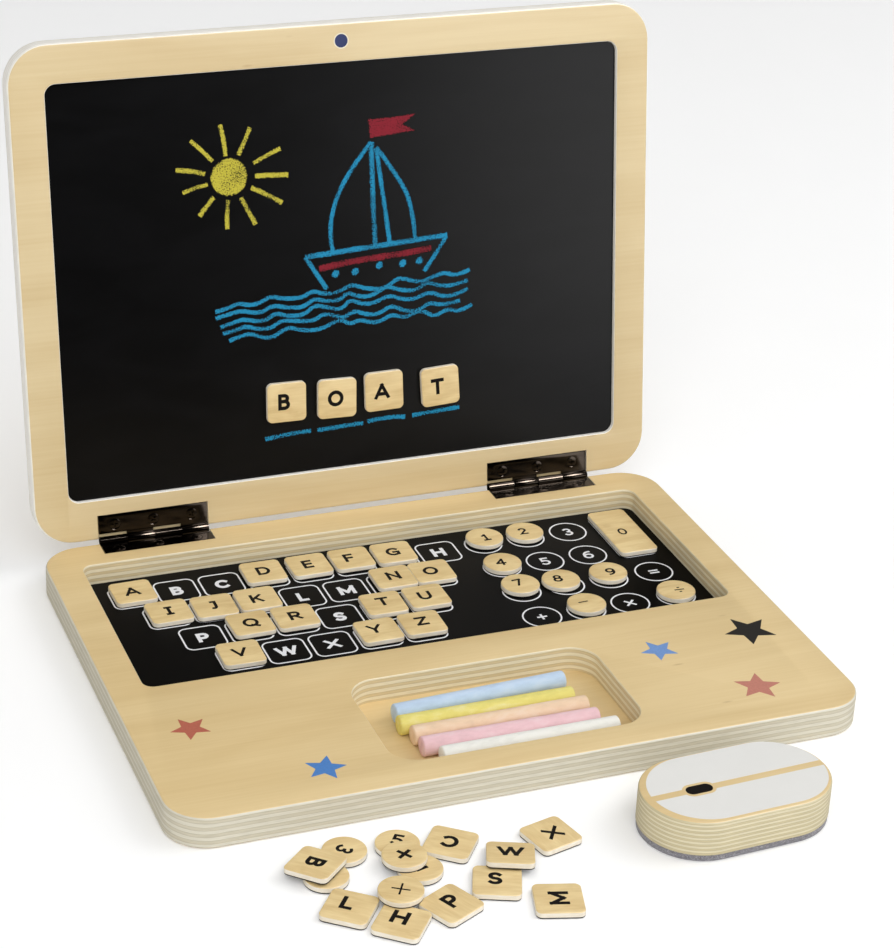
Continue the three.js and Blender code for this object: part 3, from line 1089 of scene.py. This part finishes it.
def makeKey(name, shape, sign, place, body, node=None, kind="letter", signTurn=0, shift=(0, 0)):
    piece = copyPiece(templates[shape], name)
    cut = Vector((37.0, 11.3, 5.1)) * next(keyNumbers)  # each key comes from another part of the board
    grain = piece.data.attributes.new("grainPlace", "FLOAT_VECTOR", "POINT")
    for vertex, entry in zip(piece.data.vertices, grain.data):
        entry.vector = vertex.co / mm + cut
    mark = label(sign, *key[kind], 0.06, key["thick"] - 0.03, signTurn, shift)
    paintFaces(mark, [keyInk], lambda face: 0)
    piece = joinPieces(name, [piece, mark])
    putInPlace(piece, place, body, "key_wood", *([node] if node else []))
    return piece


def middleOf(node):
    low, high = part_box(node)
    return (low + high) / 2


def standing(node, turn):
    low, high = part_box(node)
    middle = (low + high) / 2
    return Matrix.Translation((middle.x, middle.y, low.z)) @ Matrix.Rotation(math.radians(turn), 4, "Z")


# Each letter key's turn on the keyboard, and how far its letter is off the middle in millimetres
keyTurns = dict(A=1.2, D=-0.6, E=0.8, F=0, G=-0.8, I=1, J=-0.7, K=0.5, N=0, O=-0.4, Q=1.5, R=0, T=-0.5)
keyTurns.update(U=0.6, V=-1, Y=0.9, Z=-0.8)
letterShifts = dict(A=(-0.5, 0), E=(-0.7, 0), F=(-1.3, 0), G=(-0.5, 0), K=(-0.6, -0.5), N=(0.3, 0.6))
letterShifts.update(O=(-0.8, 0), T=(0, 1), U=(-0.8, 0), Y=(-1.4, 1), Z=(0, 0.9), J=(-0.5, 0), V=(-0.5, 0))
for letter, turn in keyTurns.items():
    node = f"key_{letter}"
    shift = letterShifts.get(letter, (0, 0))
    makeKey(f"keyTile_{letter}", "square", letter, standing(node, turn), node, node, shift=shift)

# Round keys: which strokes draw the sign, its turn, and how far it is off the middle
roundKeys = {
    "1": ("digit", 2, (0.4, -0.8)),
    "2": ("digit", 0, (-1.0, 0)),
    "4": ("digit", -4, (-0.9, 0)),
    "7": ("digit", 4, (-0.8, 1.0)),
    "8": ("digit", -6, (-1.5, 0.5)),
    "9": ("digit", 5, (1.0, -0.5)),
    "minus": ("sign", 3, (-1.3, 1.0)),
    "divide": ("sign", -3, (1.4, -0.5)),
}
for sign, (kind, turn, shift) in roundKeys.items():
    node = f"key_{sign}"
    makeKey(f"keyTile_{sign}", "round", sign, standing(node, 0), node, node, kind, turn, shift)
makeKey("keyTile_0", "long", "0", standing("key_0", 0), "key_0", "key_0", "zero", 0, (-0.4, -1))

# Keys on the board: each one's turn and how far its letter is off the middle
boardKeys = {
    "B": (-1, (-1.4, 0.4)),
    "O": (-1.5, (-0.9, 0.2)),
    "A": (0.5, (-1.2, 0.2)),
    "T": (2.5, (-1.5, 0.1)),
}
for letter, (turn, shift) in boardKeys.items():
    node = f"board_key_{letter}"
    middle = middleOf(node)
    turned = Matrix.Rotation(lidTurn, 4, "X") @ Matrix.Rotation(math.radians(turn), 4, "Z")
    place = Matrix.Translation(middle) @ turned @ Matrix.Translation((0, 0, -key["thick"] / 2 * mm))
    makeKey(f"boardTile_{letter}", "square", letter, place, node, node, "looseLetter", shift=shift)
print("keys on the keyboard and the board made")

# Loose keys on the table: shape, kind of sign, turn, its sign's turn and how far that is off the middle
looseKeys = {
    "L": ("square", "looseLetter", -38, 0, (-1.2, 1.6)),
    "H": ("square", "looseLetter", -39, 0, (-1.0, 1.6)),
    "P": ("square", "looseLetter", -64, 90, (-1, 1)),
    "S": ("square", "looseLetter", -22, 0, (-0.8, 1.2)),
    "X": ("square", "looseLetter", -76, 0, (0, 1)),
    "M": ("square", "looseLetter", -16, 90, (0, 0)),
    "C": ("square", "looseLetter", -38, 180, (0, 0)),
    "3": ("round", "looseDigit", 0, -141, (0, 0)),
    "5": ("round", "looseDigit", 0, -34, (0.6, 1.6)),
    "6": ("round", "looseDigit", 0, 20, (0, 0)),
    "equals": ("round", "times", 0, 15, (0, 0)),
}
for sign, (shape, kind, turn, signTurn, shift) in looseKeys.items():
    node = f"loose_key_{sign}"
    place = standing(node, turn)
    makeKey(f"looseTile_{sign}", shape, sign, place, "loose_keys", node, kind, signTurn, shift)

# Four more lie on top of these: shape, kind of sign, place, turn, tilts about the key's own x and y,
# the sign's turn and how far it is off the middle
stacked = {
    "B": ("square", "looseLetter", (-102.8, -140.4, 2.9), -47, (-2, 3), -90, (0, 0)),
    "times": ("round", "times", (-68.9, -145.2, 2.65), -10, (0, 0), 0, (0, 0)),
    "plus": ("round", "plus", (-77.8, -165.8, 2.65), -31, (0, 0), 0, (0, 0)),
    "W": ("square", "looseLetter", (-29.5, -155.4, 1.6), -22, (-9.5, 0), 0, (0, 1)),
}
for sign, (shape, kind, (x, y, z), turn, (tilt, lean), signTurn, shift) in stacked.items():
    place = (
        Matrix.Translation((x * mm, y * mm, z * mm))
        @ Matrix.Rotation(math.radians(turn), 4, "Z")
        @ Matrix.Rotation(math.radians(tilt), 4, "X")
        @ Matrix.Rotation(math.radians(-lean), 4, "Y")
    )
    makeKey(f"stackedTile_{sign}", shape, sign, place, "loose_keys", None, kind, signTurn, shift)
for template in templates.values():
    bpy.data.objects.remove(template)
print("loose keys made")

# Printing under the keys: an outline and a white sign for each key
printing = {
    "x": -116.1,
    "y": 77.7,
    "pitch": 20.85,
    "rowShift": 10.25,
    "rowPitch": 21.5,
    "rows": ["ABCDEFGH", "IJKLMNO", "PQRSTU", "VWXYZ"],
    "columns": [52.7, 74.1, 95.7, 118.4],
    "digitY": 79.1,
    "digitPitch": 23.6,
    "outline": 19.0,
    "longOutline": 42.2,
    "corner": 3.8,
    "line": 0.75,
    "ring": 9.0,
    "low": 3.88,
    "high": 3.94,
    "letter": (7.4, 1.75),
    "digit": (6.6, 1.1),
    "sign": (4.7, 1.05),
}


def outlineSlab(name, width, depth, x, y):
    line, corner = printing["line"], printing["corner"]
    shape = roundedSlab(name, width, depth, corner, printing["low"], printing["high"], x, y, steps=6)
    inner = roundedSlab("inner", width - 2 * line, depth - 2 * line, corner - line, 3, 5, x, y, steps=6)
    return booleanWith(shape, inner, "DIFFERENCE")


squareOutline = outlineSlab("squareOutline", printing["outline"], printing["outline"], 0, 0)
roundOutline = roundSlab("roundOutline", printing["ring"], printing["low"], printing["high"], steps=40)
innerRing = roundSlab("inner", printing["ring"] - printing["line"], 3, 5, steps=40)
booleanWith(roundOutline, innerRing, "DIFFERENCE")
printed = []


def printedSign(sign, kind, x, y):
    return label(sign, *printing[kind], printing["high"] - printing["low"], printing["low"], 0, (x, y))


def printSlot(outline, sign, x, y, kind):
    frameLine = copyPiece(outline, "frameLine")
    frameLine.location = (x * mm, y * mm, 0)
    settleTransform(frameLine)
    printed.extend([frameLine, printedSign(sign, kind, x, y)])


for r, row in enumerate(printing["rows"]):
    for c, letter in enumerate(row):
        x = printing["x"] + r * printing["rowShift"] + c * printing["pitch"]
        printSlot(squareOutline, letter, x, printing["y"] - r * printing["rowPitch"], "letter")
digitRows = ["1 2 3", "4 5 6", "7 8 9 equals", "plus minus times divide"]
for r, row in enumerate(digitRows):
    for c, sign in enumerate(row.split()):
        x, y = printing["columns"][c], printing["digitY"] - r * printing["digitPitch"]
        printSlot(roundOutline, sign, x, y, "digit" if sign.isdigit() else "sign")
zeroMiddle = middleOf("key_0") / mm
printed.append(
    outlineSlab("longOutline", printing["outline"], printing["longOutline"], zeroMiddle.x, zeroMiddle.y)
)
printed.append(printedSign("0", "digit", zeroMiddle.x, zeroMiddle.y))
keyboardPrint = joinPieces("keyboardPrinting", printed)
paintFaces(keyboardPrint, [whiteInk], lambda face: 0)
putInPlace(keyboardPrint, atRest, "base", "printed_panel")
bpy.data.objects.remove(squareOutline)
bpy.data.objects.remove(roundOutline)
for drawnSign in drawnSigns.values():
    bpy.data.objects.remove(drawnSign)
print("keyboard printed")

# Stars printed on the base: place, radius, turn and ink
stars = {
    "terracotta": (-125.2, -49.0, 8.6, 21, "#BF6650"),
    "blueLeft": (-82.8, -92.3, 8.8, -22, "#4A86CE"),
    "blueRight": (82.4, -48.4, 8.5, 18, "#769FDC"),
    "black": (127.6, -44.6, 11.9, 18, "#2A2521"),
    "rose": (109.8, -87.5, 10.4, -19, "#CE8573"),
}
starShape = {"waist": 0.45, "tip": 0.25, "thick": 0.06}
for name, (x, y, radius, turn, colour) in stars.items():
    freshStart()
    bpy.ops.mesh.primitive_circle_add(vertices=10, radius=radius * mm, fill_type="NGON")
    star = bpy.context.object
    star.name = "printedStar_" + name
    for vertex in list(star.data.vertices)[1::2]:  # every other corner is pulled in
        vertex.co *= starShape["waist"]
    star.location = (x * mm, y * mm, (base["height"] - hair) * mm)
    star.rotation_euler = (0, 0, math.radians(turn))
    settleTransform(star)
    bpy.ops.object.mode_set(mode="EDIT")
    bpy.ops.mesh.select_all(action="SELECT")
    bpy.ops.mesh.bevel(offset=starShape["tip"] * mm, segments=2, affect="VERTICES")
    pullUp(starShape["thick"])
    paintFaces(star, [makePaint("starInk_" + name, colour, 0.45, speck=0.9)], lambda face: 0)
    putInPlace(star, atRest, "base", "plywood")
print("stars printed")

# Chalk sticks: cast, slightly tapered, with rounded ends
chalk = {
    "length": 78,
    "radius": 4.2,
    "thin": 3.9,
    "axis": 6.7,
    "soft": 0.8,
    "sticks": {
        "blue": ("#C0D5EC", 3.5),
        "yellow": ("#E6DA7C", 0.6),
        "peach": ("#EDCFAF", 1),
        "pink": ("#EBC3C8", 0.2),
        "white": ("#F0EFE8", 0.6),
    },
}
for name, (colour, turn) in chalk["sticks"].items():
    node = f"chalk_{name}"
    middle = middleOf(node)
    freshStart()
    bpy.ops.mesh.primitive_cone_add(
        vertices=40, radius1=chalk["radius"] * mm, radius2=chalk["thin"] * mm, depth=chalk["length"] * mm
    )
    stick = bpy.context.object
    stick.name = "chalkStick_" + name
    softenEdges(stick, chalk["soft"], atHeight(-chalk["length"] / 2, chalk["length"] / 2))
    place = (
        Matrix.Translation((middle.x, middle.y, chalk["axis"] * mm))
        @ Matrix.Rotation(math.radians(turn), 4, "Z")
        @ Matrix.Rotation(math.radians(90), 4, "Y")
    )
    paintFaces(stick, [makeChalk("castChalk_" + name, colour)], lambda face: 0)
    putInPlace(stick, place, node, node, node)
print("chalk made")

# The mouse: a plywood block with painted halves, and a felt sole that rubs out the board
mouse = {
    "length": 80,
    "width": 47,
    "corner": 23.4,
    "felt": 2.6,
    "block": 2.65,
    "top": 17.5,
    "inset": 0.3,
    "paint": (75.4, 43.8, 21.9, 1.3, 0.7),
    "strip": 3.6,
    "wheel": (11.4, 5.4, -16.2),
    "halo": 1.4,
}
mousePlace = Matrix.Translation(mouseLie[0]) @ Matrix.Rotation(mouseLie[1][2], 4, "Z")
block = roundedSlab(
    "mouseBlock", mouse["length"], mouse["width"], mouse["corner"], mouse["block"], mouse["top"], steps=18
)
softenEdges(block, 0.9, atHeight(mouse["top"]))
softenEdges(block, 0.4, atHeight(mouse["block"]), steps=2)
paintFaces(block, [mouseVeneer, mouseEdge], faceUpOrEdge)
putInPlace(block, mousePlace, "mouse", "plywood", "mouse_block")

inset = mouse["inset"]
soleLength, soleWidth = mouse["length"] - 2 * inset, mouse["width"] - 2 * inset
sole = roundedSlab("mouseSole", soleLength, soleWidth, mouse["corner"] - inset, 0, mouse["felt"], steps=18)
softenEdges(sole, 0.15, atHeight(0, mouse["felt"]), steps=1)
paintFaces(sole, [felt], lambda face: 0)
putInPlace(sole, mousePlace, "mouse", "felt", "mouse_felt")

paintLow, paintHigh = mouse["top"] - hair, mouse["top"] + 0.05
width, depth, corner, x, y = mouse["paint"]
coat = roundedSlab("mousePaint", width, depth, corner, paintLow, paintHigh, x, y, steps=18)
booleanWith(coat, roundedSlab("strip", 90, mouse["strip"], 0, 10, 20), "DIFFERENCE")
wheelLength, wheelWidth, wheelX = mouse["wheel"]
gap = 2 * mouse["halo"]
haloCorner = (wheelWidth + gap) / 2 - 0.02
haloCut = roundedSlab("haloCut", wheelLength + gap, wheelWidth + gap, haloCorner, 10, 20, wheelX, 0)
booleanWith(coat, haloCut, "DIFFERENCE")
greyCoat = makePaint("greyCoat", "#E9E8E4", 0.5, speck=12, depth=0.01, variation=0.02, gloss=0.3)
paintFaces(coat, [greyCoat], lambda face: 0)
putInPlace(coat, mousePlace, "mouse", "plywood")
wheel = roundedSlab(
    "mouseWheel", wheelLength, wheelWidth, wheelWidth / 2 - 0.02, paintLow, paintHigh + 0.02, wheelX, 0
)
paintFaces(wheel, [keyInk], lambda face: 0)
putInPlace(wheel, mousePlace, "mouse", "plywood")
print("mouse made")

# Chalk drawing on the board, in millimetres across and up from the middle of the lid's lower edge
drawing = {
    "sun": ((-53.2, 161.0), 8.6),
    "inks": {"blue": "#1F8CB8", "red": "#861E2C", "yellow": "#C2B740"},
    "lift": 0.04,
    "rayLine": (2.1, 2.6),
    "boatLine": 2.5,
    "heavyLine": 3.0,
    "stripeLine": 3.5,
    "waveLine": 2.3,
    "underline": 2.4,
    "porthole": 2.0,
}
markInks = {name: makeChalkMark("chalkMark_" + name, ink) for name, ink in drawing["inks"].items()}
boardZ = lid["boardFace"]


def chalkStroke(name, points, ink, width):
    # A smooth curve with a round section, pressed flat. Each point keeps how near the line's middle it is
    freshStart()
    bpy.ops.curve.primitive_nurbs_path_add()
    path = bpy.context.object
    path.data.splines.clear()
    spline = path.data.splines.new("NURBS")
    spline.points.add(len(points) - 1)
    for point, (x, y) in zip(spline.points, points):
        point.co = (x * mm, (y + lid["setback"]) * mm, 0, 1)
    spline.order_u = 3
    spline.use_endpoint_u = True
    spline.resolution_u = 8
    path.data.bevel_depth = width / 2 * mm
    path.data.bevel_resolution = 2
    path.data.use_fill_caps = True
    bpy.ops.object.convert(target="MESH")
    stroke = bpy.context.object
    stroke.name = name
    middle = stroke.data.attributes.new("chalkMiddle", "FLOAT", "POINT")
    for vertex, entry in zip(stroke.data.vertices, middle.data):
        entry.value = min(1, abs(vertex.co.z) / (width / 2 * mm))
    stroke.scale = (1, 1, drawing["lift"] / (width / 2))
    stroke.location = (0, 0, boardZ * mm)
    settleTransform(stroke)
    stroke.data.materials.clear()
    stroke.data.materials.append(markInks[ink])
    return stroke


def chalkPatch(name, corners, ink):
    # A patch rubbed full of chalk: thinner towards its rim
    freshStart()
    bpy.ops.mesh.primitive_circle_add(vertices=len(corners), radius=1, fill_type="NGON")
    patch = bpy.context.object
    patch.name = name
    for vertex, (x, y) in zip(patch.data.vertices, corners):
        vertex.co = (x * mm, (y + lid["setback"]) * mm, (boardZ - 0.02) * mm)
    bpy.ops.object.mode_set(mode="EDIT")
    bpy.ops.mesh.select_all(action="SELECT")
    bpy.ops.mesh.inset(thickness=0.7 * mm)
    pullUp(0.05)
    rim = patch.data.attributes.new("chalkMiddle", "FLOAT", "POINT")
    outline = [Vector(((x * mm), (y + lid["setback"]) * mm)) for x, y in corners]
    for vertex, entry in zip(patch.data.vertices, rim.data):
        near = min((vertex.co.xy - corner).length for corner in outline)
        entry.value = 0.25 if near < 1e-5 else 0.95
    patch.data.materials.append(markInks[ink])
    return patch


strokes = {"yellow": [], "blue": [], "red": []}
(sunX, sunY), sunRadius = drawing["sun"]
circle = [
    (
        sunX + sunRadius * (1 + random.uniform(-0.03, 0.03)) * math.cos(math.radians(a)),
        sunY + sunRadius * (1 + random.uniform(-0.03, 0.03)) * math.sin(math.radians(a)),
    )
    for a in range(0, 360, 12)
]
strokes["yellow"].append(chalkPatch("sunDisc", circle, "yellow"))

# The rays: each one's turn, and how far from the sun's middle it starts and ends
rayStarts = [12.0, 12.5, 10.5, 9.6, 10.6, 11.2, 10.2, 11.2, 10.4, 11.0, 11.5]
rayEnds = [27.5, 26.5, 23.8, 24.0, 24.6, 24.8, 22.2, 21.8, 23.6, 25.4, 28.0]
rayTurns = [-3, 24, 64, 98, 134, 168, 194, 229, 266, 297, 330]
for i, (turn, start, end) in enumerate(zip(rayTurns, rayStarts, rayEnds)):
    away = Vector((math.cos(math.radians(turn)), math.sin(math.radians(turn))))
    across = Vector((-away.y, away.x)) * random.uniform(-0.9, 0.9)
    points = [
        Vector((sunX, sunY)) + away * start,
        Vector((sunX, sunY)) + away * (start + end) / 2 + across,
        Vector((sunX, sunY)) + away * end,
    ]
    strokes["yellow"].append(chalkStroke(f"ray{i}", points, "yellow", random.uniform(*drawing["rayLine"])))

boatLines = {
    "leftSail": [(13.8, 171), (4, 160), (-4, 146), (-7.4, 132), (-5.6, 121.6)],
    "mast": [(13.8, 171), (13.9, 147), (14.7, 123.4)],
    "rightMast": [(16.1, 168), (19, 146), (21.8, 124)],
    "rightSail": [(16.1, 168.5), (26.5, 154), (33.2, 140), (34.2, 124)],
    "deck": [(-18.9, 121), (15.2, 122.8), (50, 124.5)],
    "stern": [(-18.9, 121), (-14, 113), (-8.9, 105)],
    "bow": [(49.5, 124), (44, 116), (38.4, 108.5)],
}
for name, points in boatLines.items():
    wide = drawing["heavyLine" if name in ("mast", "deck") else "boatLine"]
    strokes["blue"].append(chalkStroke(name, points, "blue", wide))
for i, (x, y) in enumerate([(-4.7, 111.7), (4.9, 111.8), (16.6, 113.6), (28, 113.4), (36.2, 113.9)]):
    turns, size = [math.radians(t) for t in range(0, 360, 30)], drawing["porthole"]
    spot = [(x + size * math.cos(t) + 0.3 * math.sin(t), y + size * math.sin(t)) for t in turns]
    strokes["blue"].append(chalkPatch(f"porthole{i}", spot, "blue"))
stripe = [(-12.4, 114.8), (3, 117), (27.3, 117.8), (42, 119.2)]
strokes["red"].append(chalkStroke("stripe", stripe, "red", drawing["stripeLine"]))
flag = [(12.2, 181.8), (24, 181.6), (35.6, 182.4), (29.4, 178), (35.6, 174.4), (24, 173.6), (13.2, 172.8)]
strokes["red"].append(chalkPatch("flag", flag, "red"))

# Five lines of waves, drawn by hand and so never quite alike
waves = [
    [(-62, 100), (-57, 100.8), (-51, 103), (-46, 101.3), (-41, 101.8), (-36, 104.6), (-31, 103)],
    [(-62, 97), (-57, 98), (-50, 99.4), (-44, 97.6), (-40, 97.6), (-35, 100.2), (-30, 98.8), (-24, 97.8)],
    [(-60, 92.6), (-55, 93.6), (-49, 95.4), (-43, 93.4), (-38, 93.6), (-34, 96.6), (-28, 94.4), (-20, 94)],
    [(-59, 89.4), (-53, 90.4), (-48, 92), (-42, 89.6), (-36, 89.6), (-31, 92.8), (-25, 91.8), (-16, 90.6)],
    [(-56, 85.8), (-50, 87.8), (-45, 88), (-40, 85.4), (-35, 85.2), (-28, 89.4), (-22, 87), (-15, 86.2)],
]
waves[0] += [(-25, 102.3), (-20, 102.6), (-16, 105), (-11, 103), (-5, 102.6), (0, 104.6), (3, 106)]
waves[0] += [(9, 103.6), (15, 102.4)]
waves[0] += [(20, 103), (26, 107), (31, 105), (37, 103.4), (43, 105.6), (49, 107), (54, 104.4), (61, 107)]
waves[1] += [(-20, 98), (-15, 101.3), (-10, 99.4), (-3, 99), (1, 102.6), (6, 99.8), (12, 99.4), (17, 101.8)]
waves[1] += [(20, 103.4), (26, 101), (32, 99.8), (36, 101), (40, 103.2), (46, 100.8), (53, 100.2), (60, 102)]
waves[2] += [(-15, 98.4), (-8, 96), (-2, 94.6), (2, 99.2), (7, 96.4), (13, 95.8), (21, 99), (27, 96.4)]
waves[2] += [(33, 95.6), (41, 98.6), (47, 95.6), (53, 95.2), (60, 98)]
waves[3] += [(-11, 93.6), (-6, 92.2), (-1, 90.6), (4, 93.6), (10, 90.8), (16, 90.6), (22, 94.2), (28, 90.8)]
waves[3] += [(35, 89.8), (41, 93.6), (47, 91), (56, 92.8)]
waves[4] += [(-10, 87.2), (-3, 90.4), (2, 87), (6, 89), (11, 87.2), (16, 86.6), (22, 89.8), (28, 87.4)]
waves[4] += [(32, 88.6), (37, 90.2), (43, 86), (50, 89.6), (55, 87), (62, 90.2)]
for i, points in enumerate(waves):
    strokes["blue"].append(chalkStroke(f"wave{i}", points, "blue", drawing["waveLine"]))
underlines = [[(-40.7, 37.0), (-30, 38.4), (-18.5, 38.4)], [(-15.5, 38.2), (-4, 38.8), (7.1, 39)]]
underlines += [[(9.1, 39.4), (18, 40.8), (27.9, 39.4)], [(31.4, 39.7), (43, 40.4), (55.1, 40.8)]]
for i, points in enumerate(underlines):
    strokes["blue"].append(chalkStroke(f"underline{i}", points, "blue", drawing["underline"]))
for ink, lines in strokes.items():
    joined = joinPieces("chalkDrawing_" + ink, lines)
    putInPlace(joined, lidPlace, "lid", "chalkboard_paint")
print("chalk drawing made")

# Floor and light
bpy.ops.mesh.primitive_plane_add(size=6, location=(0, 0, -0.0002))
floor = bpy.context.object
floor.name = "studioFloor"
floorPaint = makePaint("studioFloor", stage["floor"], 0.7, speck=40, depth=0, variation=0.01, glow=0.07)
floor.data.materials.append(floorPaint)
world = bpy.data.worlds.new("studioWorld")
bpy.context.scene.world = world
world.use_nodes = True
sky = world.node_tree.nodes["Background"]
sky.inputs["Color"].default_value = linearColour(stage["world"])
sky.inputs["Strength"].default_value = stage["worldStrength"]
world.cycles_visibility.glossy = False
floor.visible_glossy = False

# Lamps: place, power, size, whether it lights the toy and whether it shows as a shine on it
lamps = {
    "sideLight": ((1.7, -0.3, 1.6), 13, 1.2, True, False),
    "frontLight": ((-0.5, -1.7, 1.5), 19, 1.6, True, False),
    "topSheen": ((0.62, -0.56, 1.22), 60, 0.6, False, True),
    "boardSheen": ((0.88, -1.2, 0.08), 4, 0.6, False, True),
}
for name, (place, power, size, lights, shines) in lamps.items():
    bpy.ops.object.light_add(type="AREA", location=place)
    lamp = bpy.context.object
    lamp.name = name
    lamp.data.energy = power
    lamp.data.size = size
    lamp.visible_diffuse = lights
    lamp.visible_glossy = shines
    lamp.rotation_euler = (Vector((0, 0, 0.08)) - Vector(place)).to_track_quat("-Z", "Y").to_euler()
print("stage lit")
